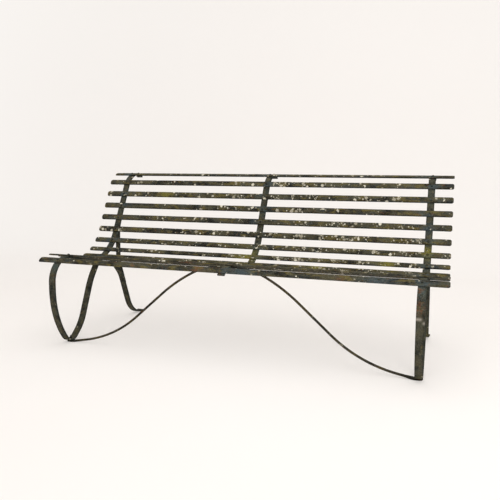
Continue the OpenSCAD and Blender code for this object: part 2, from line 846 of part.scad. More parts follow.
left_end_strap();
right_end_strap();
middle_strap();
left_front_loop();
right_front_loop();
left_rear_leg();
right_rear_leg();
left_back_brace();
right_back_brace();
back_slat_1();
back_slat_2();
back_slat_3();
back_slat_4();
back_slat_5();
back_slat_6();
back_slat_7();
back_slat_8();
back_slat_9();
seat_slat_1();
seat_slat_2();
seat_slat_3();
seat_slat_4();
seat_slat_5();
seat_slat_6();
left_stretcher_foot();
right_stretcher_foot();
left_stretcher_rod();
right_stretcher_rod();
stretcher_crown();
left_slat_rivets();
middle_slat_rivets();
right_slat_rivets();
brace_rivets();
foot_rivets();
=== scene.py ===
# %% [markdown]
# # A strap iron garden bench, dressed
# The bench is flat iron bar and nothing else: two bent end straps, a middle strap, fifteen
# crowned slats riveted across them, a brace behind each end and an arched rod that ties the
# front feet together. This lesson loads the solid model as a fixed frame, sets its lines out
# again from the same sizes, and lays a hand-forged surface with old paint over each part.

# %% Load the frame
import copy
import math
import bpy
import numpy as np
from mathutils import Matrix, Vector


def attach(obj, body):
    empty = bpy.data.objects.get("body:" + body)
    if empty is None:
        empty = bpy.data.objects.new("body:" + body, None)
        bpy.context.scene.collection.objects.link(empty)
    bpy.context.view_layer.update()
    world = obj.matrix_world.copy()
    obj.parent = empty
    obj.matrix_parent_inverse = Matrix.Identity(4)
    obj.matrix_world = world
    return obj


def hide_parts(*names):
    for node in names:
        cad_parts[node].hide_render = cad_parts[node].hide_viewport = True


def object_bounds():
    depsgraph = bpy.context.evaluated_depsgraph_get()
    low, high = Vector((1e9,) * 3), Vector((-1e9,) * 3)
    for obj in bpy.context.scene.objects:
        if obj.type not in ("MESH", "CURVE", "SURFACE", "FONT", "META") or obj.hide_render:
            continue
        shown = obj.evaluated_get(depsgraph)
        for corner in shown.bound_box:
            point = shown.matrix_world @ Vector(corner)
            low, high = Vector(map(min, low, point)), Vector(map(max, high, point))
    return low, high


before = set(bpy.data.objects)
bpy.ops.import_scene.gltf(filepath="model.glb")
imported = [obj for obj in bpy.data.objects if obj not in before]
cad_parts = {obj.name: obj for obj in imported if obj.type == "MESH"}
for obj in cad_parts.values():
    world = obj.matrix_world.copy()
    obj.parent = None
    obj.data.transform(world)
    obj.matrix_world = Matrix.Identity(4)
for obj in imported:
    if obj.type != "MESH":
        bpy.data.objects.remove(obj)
cad_box = [list(map(float, corner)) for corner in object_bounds()]
print("solid model:", len(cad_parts), "nodes, box in metres", cad_box)

# %% [markdown]
# ## The lines a smith sets out
# A smith chalks the side view on the floor at full size and bends each bar to it. A traced
# curve would follow small errors too. The drawing is only straight runs joined by arcs, so a
# short list of corners, each with a radius, holds it and keeps the bends true. Side views are
# [depth, height] in mm, with depth counted from the front face of the front legs.

# %% Directions and corners
MM = 0.001


def unit(angle):
    """The unit vector at an angle in degrees: (cosine, sine)."""
    a = np.radians(angle)
    return np.stack([np.cos(a), np.sin(a)], -1)


def heading(a, b):
    """Direction in degrees from point a to point b."""
    return math.degrees(math.atan2(b[1] - a[1], b[0] - a[0]))


def wrapped(angle):
    """The same angle between -180 and 180 degrees."""
    return (angle + 180) % 360 - 180


def ahead(p, angle, length):
    """The point reached from p by going a length along an angle."""
    return np.asarray(p, float)[:2] + length * unit(angle)


def crossing(p, a, q, b):
    """Where the line through p at angle a meets the line through q at angle b."""
    ra, rb = math.radians(a), math.radians(b)
    along = ((q[0] - p[0]) * math.sin(rb) - (q[1] - p[1]) * math.cos(rb)) / math.sin(rb - ra)
    return ahead(p, a, along)


def setback(radius, turn):
    """Length that a bend takes from each side of its corner: radius times tan(turn / 2)."""
    return radius * math.tan(math.radians(abs(turn)) / 2)


def fitted(radius, turn, length):
    """The wanted radius, or the largest whose setback leaves 1 mm of the given length."""
    return min(radius, max(length - 1, 1) / math.tan(math.radians(abs(turn)) / 2))


print("a bend of 90 degrees and 10 mm radius takes", round(setback(10, 90), 1), "mm from each side")


# %% Walk a line of corners
class Path:
    """A line of straight runs and arcs: points, headings in degrees and the length walked."""

    def __init__(self, corners, step):
        """An arc of radius r and turn t starts r tan(t / 2) before its corner, and its
        points are centre + r (cos, sin) as the angle goes evenly from start to end."""
        corners = [tuple(c) + (0.0,) * (3 - len(c)) for c in corners]
        here, points, heads = np.array(corners[0][:2]), [], []
        for i in range(1, len(corners)):
            h = heading(here, corners[i])
            last = i == len(corners) - 1
            turn = 0.0 if last else wrapped(heading(corners[i], corners[i + 1]) - h)
            end = ahead(corners[i], h, -setback(corners[i][2], turn))
            n = max(1, math.ceil(np.linalg.norm(end - here) / step))
            share = np.arange(n)[:, None] / n
            points.append(here + share * (end - here))
            heads.append(np.full(n, h))
            if not last:
                side, radius = math.copysign(90, turn), corners[i][2]
                centre = ahead(end, h + side, radius)
                n = max(4, math.ceil(radius * math.radians(abs(turn)) / step))
                angles = h + turn * np.arange(n) / n
                points.append(centre + radius * unit(angles - side))
                heads.append(angles)
                here = centre + radius * unit(h + turn - side)
            else:
                points.append(end[None])
                heads.append(np.array([h]))
        self.points = np.concatenate(points)
        self.heads = np.unwrap(np.concatenate(heads), period=360)
        gone = np.linalg.norm(np.diff(self.points, axis=0), axis=1)
        self.run = np.concatenate([[0.0], np.cumsum(gone)])
        self.length = self.run[-1]

    def at(self, s):
        """Point and heading at length s, in a straight line between the stored points."""
        p = np.stack([np.interp(s, self.run, self.points[:, k]) for k in (0, 1)], -1)
        return p, np.interp(s, self.run, self.heads)

    def near(self, p):
        """Length walked at the stored point nearest to p, plus what p lies further on."""
        i = np.argmin(np.linalg.norm(self.points - p, axis=1))
        return self.run[i] + (p - self.points[i]) @ unit(self.heads[i])

    def until(self, s):
        """The same line, cut off at length s."""
        cut, keep = copy.copy(self), self.run < s
        p, h = self.at(s)
        cut.points, cut.heads = np.vstack([self.points[keep], p]), np.append(self.heads[keep], h)
        cut.run, cut.length = np.append(self.run[keep], s), s
        return cut


quarter = Path([(0, 0), (20, 0, 10), (20, 20)], 0.1)
print("two runs of 10 mm and a quarter turn of 10 mm radius:", round(quarter.length, 1), "mm")

# %% [markdown]
# ## Side view of an end strap
# On the real bench one long bar makes the curl, the back, the seat, the front leg, the loop on
# the floor, the arch under the seat, the rear leg and the foot. It is forged from three bars,
# welded on the front leg and on the rear arm, and the welds are dressed flush. Three separate
# lines would show a kink there, so one list of corners runs through all and is cut afterwards.

# %% Sizes of the bars
slat_length, slat_thickness, slat_edge, slat_corner = 1830, 8, 3, 9
back_slats, back_slat_width, seat_slats, seat_slat_width = 9, 31, 6, 36
strap_width, middle_width, strap_thickness, brace_width = 33, 33, 8, 25
half = strap_thickness / 2
gap = 0.2
rivet_tail, slat_overhang = 12.0, 101
end_x = slat_length / 2 - slat_overhang
print("straps", strap_width, "by", strap_thickness, "mm, the end ones", end_x, "mm from the middle")

# %% Set out the seat and back
seat_slope, back_rake = 13, 27
curl_radius, curl_fall, bend_radius, roll_radius = 113, 28, 240, 106
seat_height, back_height, seat_depth, knee_height = 413, 800, 477, 138
curl_tip = 0.4
bend_line = half + seat_depth
back_angle, seat_angle = -90 - back_rake, 180 - seat_slope
slope = math.radians(seat_slope)
roll_corner = (half, seat_height + roll_radius * (math.tan(slope) + 1 / math.cos(slope) - 1), roll_radius)
bend_corner = (bend_line, roll_corner[1] - seat_depth * math.tan(slope), bend_radius)
curl_side = ahead(bend_corner, -back_rake, curl_radius)
curl_centre = crossing(curl_side, back_angle, (0, back_height - curl_radius), 0)
curl_end = ahead(curl_centre, 90 - curl_fall, curl_radius)
curl_cross = crossing(bend_corner, back_angle, curl_end, -curl_fall)
curl_corner = (*curl_cross, curl_radius)
knee = (half, knee_height)
upper_corners = [ahead(curl_end, -curl_fall, curl_tip), curl_corner, bend_corner, roll_corner, knee]
upper = Path(upper_corners, 1.0)
print("curl to knee", round(upper.length), "mm")

# %% Places of the fifteen slats
seat_pitch, curl_tail, front_reach, front_slip = 72, 22, 74.5, 4
slat_count = back_slats + seat_slats
roll_turn = wrapped(-90 - seat_angle)
roll_start = ahead(roll_corner, seat_angle, -setback(roll_radius, roll_turn))
front_place = upper.near(roll_start) + front_reach
seat_place = front_place - seat_pitch * (seat_slats - 1)
back_pitch = (seat_place - curl_tail) / back_slats
index = np.arange(slat_count)
slat_places = (curl_tail + back_pitch * np.minimum(index, back_slats)
               + seat_pitch * np.maximum(0, index - back_slats)
               + front_slip * (index == slat_count - 1))
slat_widths = np.where(index < back_slats, back_slat_width, seat_slat_width)
slat_points, slat_heads = upper.at(slat_places)
print("back slats every", round(back_pitch, 1), "mm, seat slats every", seat_pitch, "mm")


# %% How far a bar's face bulges under a flat piece
def rise(path, s, offset, reach):
    """Largest distance of a bar's offset face above the tangent line at s, within reach."""
    p, h = path.at(s)
    near = np.abs(path.run - s) <= reach
    face = path.points[near] + offset * unit(path.heads[near] - 90)
    return float(np.max(math.copysign(1, offset) * ((face - p) @ unit(h - 90))))


floor_of_slat = np.array([rise(upper, s, half, w / 2) + gap
                          for s, w in zip(slat_places, slat_widths)])
brace_slat, pad_slat = 5, slat_count - 2
pad_thickness, pad_width = 7, 17
pad_drop = rise(upper, slat_places[pad_slat], -half, pad_width / 2) + gap
pad_centre = slat_points[pad_slat] - (pad_drop + pad_thickness / 2) * unit(slat_heads[pad_slat] - 90)
rod_line = pad_centre[0]
print("slats stand", floor_of_slat.round(2), "mm above the middle of the strap")

# %% Set out the loop
loop_radius, palm_thickness, knee_radius = 52, 6, 426
arm_run, arm_height, arm_radius = 216, 70, 200
loop_bottom = palm_thickness + gap + half
loop_centre = np.array([rod_line, loop_bottom + loop_radius])
knee_gap = np.linalg.norm(loop_centre - knee)
leg_angle = heading(knee, loop_centre) - math.degrees(math.asin(loop_radius / knee_gap))
arm_corner = (half + arm_run, arm_height, arm_radius)
arm_gap = np.linalg.norm(loop_centre - arm_corner[:2])
arm_angle = heading(loop_centre, arm_corner) + math.degrees(math.asin(loop_radius / arm_gap))
loop_cross = crossing(knee, leg_angle, arm_corner, arm_angle)
knee_turn = leg_angle + 90
knee_space = min(
    roll_corner[1] - knee[1] - setback(roll_radius, roll_turn),
    np.linalg.norm(loop_cross - knee) - setback(loop_radius, arm_angle - leg_angle),
)
print("the loop stands on the floor", round(rod_line), "mm behind the front face")

# %% Set out the arch and the rear leg
lean_slope, lean_length, lean_radius = 52, 101, 326
arch_lead, arch_lead_radius, arch_fall, arch_radius = 44, 98, 45, 104
rear_knee_back, rear_knee_drop, rear_knee_radius = 127, 111, 150
foot_back, foot_run, foot_radius = 348, 113, 150
touch = slat_points[back_slats] - (strap_thickness + gap) * unit(slat_heads[back_slats] - 90)
touch_angle = wrapped(slat_heads[back_slats] - 180)
arch_start = ahead(touch, touch_angle, -arch_lead)
lean_start = ahead(arch_start, lean_slope, -lean_length)
rear_knee = (bend_line + rear_knee_back, touch[1] - rear_knee_drop, rear_knee_radius)
arch_top = crossing(touch, touch_angle, rear_knee, -arch_fall)
foot_end = bend_line + foot_back
foot_corner = (foot_end - foot_run, half)
rear_angle = heading(rear_knee, foot_corner)
print("rear leg falls at", round(rear_angle), "degrees to the foot")

# %% The whole line of one end, and its welds
path_step, leg_weld_run, arm_weld_run = 4.0, 28, 64
start_radius = fitted(arch_lead_radius, lean_slope - touch_angle, arch_lead - rivet_tail / 2)
top_radius = fitted(arch_radius, touch_angle + arch_fall, np.linalg.norm(arch_top - touch))
end_line = Path(upper_corners[:-1] + [
    (*knee, fitted(knee_radius, knee_turn, knee_space)), (*loop_cross, loop_radius), arm_corner,
    (*lean_start, lean_radius), (*arch_start, start_radius), (*arch_top, top_radius),
    rear_knee, (*foot_corner, fitted(foot_radius, rear_angle, foot_run)), (foot_end, half),
], path_step)
roll_end = ahead(roll_corner, -90, setback(roll_radius, roll_turn))
leg_weld = end_line.near(roll_end) + leg_weld_run
arm_weld = end_line.near(np.array([rod_line, loop_bottom])) + arm_weld_run
bench_depth = (cad_box[1][1] - cad_box[0][1]) / MM
print("bar in one end:", round(end_line.length), "mm, welded at", round(leg_weld), "and", round(arm_weld))
print("bench depth:", round(bench_depth, 1), "mm")

# %% [markdown]
# ## Forged surfaces
# Heat, hammer, rust and many coats of paint leave soft edges and a width that wanders by a
# fraction of a millimetre. A bevel on a plain box would round the edges but keep dead straight
# faces. Here each bar is a surface of two parameters, the length along the path and the turn
# round the section, so that width and thickness can change at every step.


# %% Waviness
def wander(s, seed, longest, shortest):
    """Sum of six sine waves with lengths from longest to shortest mm, scaled to 0 to 1."""
    rng = np.random.default_rng(seed)
    waves = np.geomspace(longest, shortest, 6) * rng.uniform(0.85, 1.15, 6)
    phases = rng.uniform(0, 2 * np.pi, 6)
    total = np.sin(2 * np.pi * np.asarray(s)[..., None] / waves + phases).sum(-1) / 6
    return np.clip(0.5 + 0.8 * total, 0, 1)


print("a bar's waviness at every 100 mm:", wander(np.arange(0, 500, 100), 1, 400, 30).round(2))


# %% Section of a bar
def bar_section(flats, corner):
    """Columns of a rounded rectangle, as shares: a point is side * (half size - radius) +
    bend * radius in each direction. Corners take even steps of a quarter turn."""
    turns = np.linspace(0, 90, corner + 1)
    signs = [(1, 1), (-1, 1), (-1, -1), (1, -1)]
    side, bend = [], []
    for k, sign in enumerate(signs):
        angles = turns + 90 * k
        side.append(np.tile(sign, (corner + 1, 1)).astype(float))
        bend.append(unit(angles))
        after = signs[(k + 1) % 4]
        share = (np.arange(1, flats[k % 2]) / flats[k % 2])[:, None]
        side.append(np.array(sign) + share * (np.array(after) - np.array(sign)))
        bend.append(np.tile(unit(angles[-1]), (len(share), 1)))
    return np.concatenate(side), np.concatenate(bend)


print("section of a bar:", len(bar_section((8, 2), 3)[0]), "points")


# %% Grids into meshes
def tube_faces(tubes, rows, columns):
    """For each tube, quads between each row of its grid and the next, closing round the
    columns, and one many-sided face over each end."""
    i = np.arange(rows - 1)[:, None] * columns
    j = np.arange(columns)[None, :]
    k = (j + 1) % columns
    quads = np.stack([i + j, i + k, i + columns + k, i + columns + j], -1).reshape(-1, 4)
    first = list(range(columns))[::-1]
    last = list(range((rows - 1) * columns, rows * columns))
    one = quads.tolist() + [first, last]
    return [[n + t * rows * columns for n in face] for t in range(tubes) for face in one]


print("faces of a tube of 3 rows and 4 columns:", len(tube_faces(1, 3, 4)))


# %% Pieces of the scene
def six_volumes(vertices, faces):
    """Six times the enclosed volume: the sum of a . (b x c) over a fan of each face."""
    total = 0.0
    for size in {len(f) for f in faces}:
        f = np.array([f for f in faces if len(f) == size])
        a = vertices[f[:, 0]]
        for k in range(1, size - 1):
            total += np.einsum("ij,ij->i", a, np.cross(vertices[f[:, k]], vertices[f[:, k + 1]])).sum()
    return total


def mesh_object(name, vertices, faces, finish):
    """A smooth mesh object in metres at the origin."""
    mesh = bpy.data.meshes.new(name)
    mesh.from_pydata(vertices.tolist(), [], faces)
    mesh.shade_smooth()
    mesh.materials.append(finish)
    thing = bpy.data.objects.new(name, mesh)
    bpy.context.scene.collection.objects.link(thing)
    return thing


def add_piece(name, grid, slot, nodes, sharp=38, **marks):
    """Closed tubes, faces outwards, from one grid of points by row and column or a stack of
    such grids, with one number a point for each mark. The piece wears the slot's finish,
    rides on the bench and stands for the given nodes of the solid model."""
    rows, columns = grid.shape[-3:-1]
    vertices = grid.reshape(-1, 3)
    faces = tube_faces(len(vertices) // (rows * columns), rows, columns)
    if six_volumes(vertices, faces) < 0:
        faces = [f[::-1] for f in faces]
    piece = mesh_object(name, vertices, faces, finishes[slot])
    piece.data.set_sharp_from_angle(angle=math.radians(sharp))
    for mark, values in marks.items():
        layer = piece.data.attributes.new(mark, "FLOAT", "POINT")
        layer.data.foreach_set("value", np.asarray(values, np.float32).ravel())
    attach(piece, "root")
    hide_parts(*nodes)


cube = np.array([[x, y, z] for z in (0, 1) for x, y in ((0, 0), (1, 0), (1, 1), (0, 1))])
print("a cube of side 1 has a volume of", abs(six_volumes(cube, tube_faces(1, 2, 4))) / 6)


# %% A bar carried along a path
def bar(path, width, thickness, x, seed, flats=(8, 2), corner=3, edge=1.3, spread=None, cuts=()):
    """Rounded rectangle carried along a side-view path. A row at length s lies at the path's
    point, its width goes along X and its thickness along the path's own right-hand side.
    Width and thickness lose up to 0.7 mm by wander(s), and both draw in on a quarter circle
    over the last edge mm, which rounds the ends. There is a row at each of the cuts."""
    d = edge * (1 - np.cos(np.linspace(0, np.pi / 2, 5)))
    inner = path.run[(path.run > edge) & (path.run < path.length - edge)]
    s = np.unique(np.concatenate([d, inner, path.length - d, cuts]).round(3))
    p, h = path.at(s)
    ends = np.minimum(s, path.length - s)
    short = np.maximum(edge - ends, 0)
    inset = edge - np.sqrt(np.maximum(edge ** 2 - short ** 2, 0))
    w = width - 0.7 * wander(s, seed, 400, 30) - 2 * inset
    t = thickness - 0.35 * wander(s, seed + 1, 300, 24) - 2 * inset
    if spread is not None:
        w = w + spread(s)
    side, bend = bar_section(flats, corner)
    across = side[:, 0] * (w / 2 - edge)[:, None] + bend[:, 0] * edge
    up = side[:, 1] * (t / 2 - edge)[:, None] + bend[:, 1] * edge
    out = unit(h - 90)
    grid = np.stack([
        x + across,
        p[:, :1] + up * out[:, :1] - bench_depth / 2,
        p[:, 1:] + up * out[:, 1:],
    ], -1)
    return grid * MM, s


def lengths(grid, s, welds):
    """A grid with its rows at lengths s, cut at the welds. Both neighbours keep a weld's row."""
    rows = [0, *np.searchsorted(s, np.round(welds, 3)), len(s) - 1]
    return [grid[a:b + 1] for a, b in zip(rows, rows[1:])]


print("100 mm of straight bar:", bar(Path([(0, 0), (100, 0)], 4.0), 33, 8, 0, 1)[0].shape, "points")

# %% [markdown]
# ## Paint that has stood outdoors
# The real finish is many coats of oil paint on wrought iron: a green gone nearly black, an
# older blue-grey where it has worn thin round the straps, olive algae in the wet places,
# small rust spots, and crusts of pale lichen on the back slats. A photograph wrapped round the
# bars would tie the finish to one bench. Layers of noise at the real sizes suit any length of
# bar, and a few numbers on each vertex say where a layer is thick: on a crown, at a crossing
# or at a single stain.


# %% Colours and nodes
def linear(colour):
    """A hex colour as written for a screen, turned to linear light with the sRGB curve."""
    c = np.array([int(colour[i:i + 2], 16) / 255 for i in (1, 3, 5)])
    c = np.where(c <= 0.04045, c / 12.92, ((c + 0.055) / 1.055) ** 2.4)
    return (*c, 1.0)


def add(tree, kind, links=None, **settings):
    """Adds a node. Settings are its own properties; links gives its inputs, by name or number,
    either a socket to join or a value to set."""
    n = tree.nodes.new(kind)
    for key, value in settings.items():
        setattr(n, key, value)
    for key, value in (links or {}).items():
        if isinstance(value, bpy.types.NodeSocket):
            tree.links.new(value, n.inputs[key])
        else:
            n.inputs[key].default_value = value
    return n


def reckon(tree, operation, *values, **settings):
    """The output of a Math node for its inputs in order, each a socket or a number."""
    return add(tree, "ShaderNodeMath", dict(enumerate(values)), operation=operation, **settings).outputs[0]


def emptied(owner):
    """The node tree of a material or of the world, with nothing in it."""
    owner.use_nodes = True
    owner.node_tree.nodes.clear()
    return owner.node_tree


def per_metre(size):
    """Scale of a pattern whose features are the given number of millimetres across."""
    return 1000 / size


print("mid grey in linear light:", [round(v, 3) for v in linear("#808080")])


# %% Patches, coats and crusts
def islands(tree, vector, size, low, high, detail=4.0, shift=0.0):
    """Noise with features of a size in mm, faded smoothly from 0 at low to 1 at high."""
    noise = add(tree, "ShaderNodeTexNoise", {"Vector": vector, "Scale": per_metre(size), "Detail": detail,
                                             "Roughness": 0.6, "Distortion": shift})
    return add(tree, "ShaderNodeMapRange", {"Value": noise.outputs[0], "From Min": low, "From Max": high},
               interpolation_type="SMOOTHSTEP").outputs[0]


def lay(tree, below, above, *shares):
    """Colour above laid over colour below, as thickly as the product of the shares says. A
    Mix node's inputs 6 and 7 are its two colours, and its output 2 is the mixed one."""
    cover = shares[0]
    for share in shares[1:]:
        cover = reckon(tree, "MULTIPLY", cover, share)
    return add(tree, "ShaderNodeMix", {0: cover, 6: below, 7: above}, data_type="RGBA").outputs[2]


def crusts(tree, vector, size, density, scurf, crust):
    """Ragged islands in cells of a size in mm: how far they cover, and their colour. A cell is
    filled if its own random number lies below the density. The square of its second random
    number takes the colour from scurf to crust."""
    cells = add(tree, "ShaderNodeTexVoronoi", {"Vector": vector, "Scale": per_metre(size)}).outputs
    ragged = add(tree, "ShaderNodeTexNoise", {"Vector": vector, "Scale": per_metre(size / 3),
                                              "Detail": 4.0, "Roughness": 0.7}).outputs[0]
    reach = reckon(tree, "MULTIPLY_ADD", ragged, 0.8, cells["Distance"])
    inside = add(tree, "ShaderNodeMapRange", {"Value": reach, "From Min": 0.92, "From Max": 0.74},
                 interpolation_type="SMOOTHSTEP").outputs[0]
    random = add(tree, "ShaderNodeSeparateColor", {0: cells["Color"]}).outputs
    cover = reckon(tree, "MULTIPLY", inside, reckon(tree, "LESS_THAN", random[0], density))
    return cover, lay(tree, scurf, crust, random[1], random[1])


print("a crust 19 mm across has a noise scale of", round(per_metre(19), 1))


# %% Coats of weathered paint, from the iron up
def painted(tree, where, flow, mark, coats, patch, old_share, rust_share, grime):
    """Each layer is noise read through a steep ramp, so that it lies as islands with soft
    shores over the one before. Returns the colour below the lichen."""
    dark, worn, algae, old, moss, rust, bare = coats
    # The crown mark lays the lighter coats: partly wear, partly painted highlight on slat tops and painted
    # shade on strap edges and feet.
    colour = lay(tree, dark, worn, islands(tree, flow, patch, 0.34, 0.62), mark["crown"])
    colour = lay(tree, colour, algae, islands(tree, flow, patch * 0.6, 0.5, 0.62, shift=0.4), 0.8,
                 mark["crown"])
    blue = reckon(tree, "ADD", mark["crossing"], old_share, use_clamp=True)
    colour = lay(tree, colour, old, islands(tree, flow, patch * 0.8, 0.47, 0.58, detail=6.0), blue)
    colour = lay(tree, colour, old, mark["teal"], islands(tree, flow, 16, 0.3, 0.5))
    colour = lay(tree, colour, moss, mark["moss"], islands(tree, flow, 14, 0.3, 0.5))
    colour = lay(tree, colour, dark, grime, 0.55)
    freckles = reckon(tree, "MULTIPLY", islands(tree, where, 12, 0.6, 0.68), rust_share)
    stains = reckon(tree, "MULTIPLY", mark["stain"], islands(tree, flow, 9, 0.42, 0.62))
    colour = lay(tree, colour, rust, reckon(tree, "ADD", freckles, stains, use_clamp=True))
    colour = lay(tree, colour, bare, islands(tree, where, 4, 0.52, 0.66, detail=2.0), mark["crown"], 0.2)
    return lay(tree, colour, bare, mark["pale"])


print("layers: worn, algae, old blue-grey, moss, grime, rust, bare")


# %% Weathered paint
def weathered_paint(name, coats, patch, stretch, old_share, lichen_share, rust_share=0.3,
                    roughness=0.74, gloss=0.1):
    """coats: dark, worn, algae, old, moss, rust, bare, then scurf and crust of the lichen.
    patch is the size of the largest patches in mm, and stretch below 1 draws them out along X.
    Lichen and grime also stand out and sink in as a bump of 0.6 mm."""
    tones = [linear(c) for c in coats]
    material = bpy.data.materials.new(name)
    tree = emptied(material)
    where = add(tree, "ShaderNodeTexCoord").outputs["Object"]
    flow = add(tree, "ShaderNodeMapping", {"Vector": where, "Scale": (stretch, 1, 1)}).outputs[0]
    mark = {kind: add(tree, "ShaderNodeAttribute", attribute_name=kind).outputs["Fac"]
            for kind in ("crown", "crossing", "teal", "moss", "stain", "pale", "lichen")}
    grime = islands(tree, where, 5, 0.35, 0.7, detail=3.0)
    colour = painted(tree, where, flow, mark, tones[:7], patch, old_share, rust_share, grime)

    colonies = reckon(tree, "MULTIPLY", islands(tree, where, 50, 0.44, 0.6, detail=2.0), mark["lichen"])
    cover = 0.0
    for size, share in ((9, 0.7 * lichen_share), (19, lichen_share)):
        density = reckon(tree, "MULTIPLY", colonies, share)
        crust, tone = crusts(tree, where, size, density, *tones[7:])
        colour = lay(tree, colour, tone, crust)
        cover = reckon(tree, "MAXIMUM", crust, cover)

    dull = add(tree, "ShaderNodeMapRange", {"Value": grime, "To Min": roughness,
                                            "To Max": roughness + 0.2}).outputs[0]
    height = reckon(tree, "SUBTRACT", cover, reckon(tree, "MULTIPLY", grime, 0.5), use_clamp=True)
    flakes = add(tree, "ShaderNodeBump", {"Height": height, "Strength": 0.6,
                                          "Distance": 0.6 * MM}).outputs[0]
    shader = add(tree, "ShaderNodeBsdfPrincipled", {"Base Color": colour, "Roughness": dull,
                                                    "Normal": flakes, "IOR": 1.5,
                                                    "Specular IOR Level": gloss})
    add(tree, "ShaderNodeOutputMaterial", {"Surface": shader.outputs[0]})
    return material


print("oil paint: IOR 1.5, hardly any gloss")

# %% The four finishes
finishes = {}
# Slats: oil paint gone nearly black, olive algae on top, pale lichen crusts on the back.
finishes["slat_paint"] = weathered_paint(
    "oil_paint_slats_lichen",
    ("#121310", "#504c39", "#6a5f33", "#414d50", "#7b742f", "#6a472d", "#8d8679", "#8f8876", "#dad4c1"),
    patch=42, stretch=0.5, old_share=0.24, lichen_share=0.85, rust_share=0.5)
# Straps: the same paint, worn back to its blue-grey first coat round the slats.
finishes["strap_paint"] = weathered_paint(
    "oil_paint_straps_worn",
    ("#1c201c", "#4d4a3b", "#565136", "#414e4c", "#7b742f", "#6c452d", "#9a9388", "#837d6d", "#aaa48e"),
    patch=40, stretch=1.0, old_share=0.14, lichen_share=0.15)
# Rod: thinner paint over a bar that is handled and knocked, so browner and smoother.
finishes["rod_paint"] = weathered_paint(
    "oil_paint_rod_rubbed",
    ("#171610", "#4a4333", "#54492c", "#3b423f", "#5c572a", "#6b4529", "#8d8679", "#7c7665", "#98917c"),
    patch=40, stretch=0.35, old_share=0.1, lichen_share=0.1, rust_share=0.4, roughness=0.68)
# Rivets: hammered heads where water stands, so darker and with more rust spots.
finishes["rivet_paint"] = weathered_paint(
    "oil_paint_rivets_pitted",
    ("#151816", "#3c3e35", "#4b4829", "#3f4c4e", "#5c572a", "#6b452d", "#8d8679", "#7c7766", "#a09985"),
    patch=22, stretch=1.0, old_share=0.2, lichen_share=0.1, rust_share=0.5)
print("finishes:", [finish.name for finish in finishes.values()])

# %% [markdown]
# ## The straps
# A strap is a bar of 33 by 8 mm, bent hot over forms. The middle one is a single length, and
# each end is three lengths welded into one. The section is carried along the whole side view,
# and the grid is cut at the welds, where both neighbours keep one row of points, so that no
# seam shows. The rear foot is hammered wider at its tip, by a ramp over the last 40 mm.


# %% Marks for the paint
# Single marks seen on the bench: places [x, y, z] in mm, each with its radius.
places = {
    "moss": [(814, 120, 458, 30), (-40, 49, 412, 50), (806, 380, 90, 80), (330, -12, 388, 36),
             (640, 49, 412, 36), (-560, 250, 690, 40)],
    "teal": [(814, -400, 380, 26), (16, -384, 410, 26), (814, 170, 560, 24), (-814, -404, 380, 20),
             (640, -380, 400, 60), (90, -380, 400, 60)],
    "stain": [(0, -398, 384, 16), (-110, -376, 402, 26), (-190, -290, 416, 30), (806, -422, 318, 22),
              (806, -398, 384, 12), (500, -376, 402, 16), (-420, -376, 402, 16)],
    "pale": [(802, -422, 276, 5), (808, -422, 276, 5), (814, -422, 276, 5), (828, -422, 262, 5)],
}


def marks_of(grid):
    """For each kind of mark, the largest exp(-(distance / radius)^2) over its places, and
    for slat crossings exp(-(distance / 26 mm)^2) from the nearest rivet, in side view."""
    at = grid / MM
    found = {kind: np.max([np.exp(-((at - p[:3]) ** 2).sum(-1) / p[3] ** 2) for p in spots], axis=0)
             for kind, spots in places.items()}
    heads = slat_points - [bench_depth / 2, 0]
    d2 = np.min(((at[..., None, 1:] - heads) ** 2).sum(-1), -1)
    return found | dict(crossing=0.6 * np.exp(-d2 / 26 ** 2))


def strap_marks(grid, x, width):
    """Darker edges as painted shade, with blue-grey old paint there: crown falls and crossing
    rises with the fourth power of the distance from the middle of the width. Hardly any lichen."""
    edge = np.clip(np.abs(grid[..., 0] / MM - x) / (width / 2), 0, 1) ** 4
    found = marks_of(grid)
    found["crossing"] = found["crossing"] + 0.2 * edge
    return found | dict(crown=1 - 0.85 * edge, lichen=np.full(edge.shape, 0.4))


def plain_marks(grid, lichen=0.3, crown=1.0):
    """Even wear all over; a low crown leaves the paint dark, as painted shade on parts low under the loops.
    """
    flat = np.ones(grid.shape[:-1])
    return marks_of(grid) | dict(crown=crown * flat, lichen=lichen * flat)


print("single marks:", {kind: len(spots) for kind, spots in places.items()})


# %% End straps, front loops and rear legs
tip_spread, tip_length = 10, 40


def foot_spread(s):
    """Extra width of the tip: rises evenly from nothing to tip_spread over tip_length."""
    return tip_spread * np.clip((s - end_line.length + tip_length) / tip_length, 0, 1)


welds = (leg_weld, arm_weld)
for side_name, x, seed in (("left", -end_x, 11), ("right", end_x, 23)):
    grid, s = bar(end_line, strap_width, strap_thickness, x, seed, spread=foot_spread, cuts=welds)
    for part, piece in zip(("end_strap", "front_loop", "rear_leg"), lengths(grid, s, welds)):
        add_piece(f"{side_name}_{part}_bar", piece, "strap_paint", [f"{side_name}_{part}"],
                  **strap_marks(piece, x, strap_width))
        print(side_name, part, len(piece), "rows")

# %% Middle strap
nose_length = 22
middle_line = Path(upper_corners, path_step).until(slat_places[-1] + nose_length)
grid, s = bar(middle_line, middle_width, strap_thickness, 0, 37)
add_piece("middle_bar", grid, "strap_paint", ["middle_strap"], **strap_marks(grid, 0, middle_width))
print("middle strap:", round(middle_line.length), "mm")

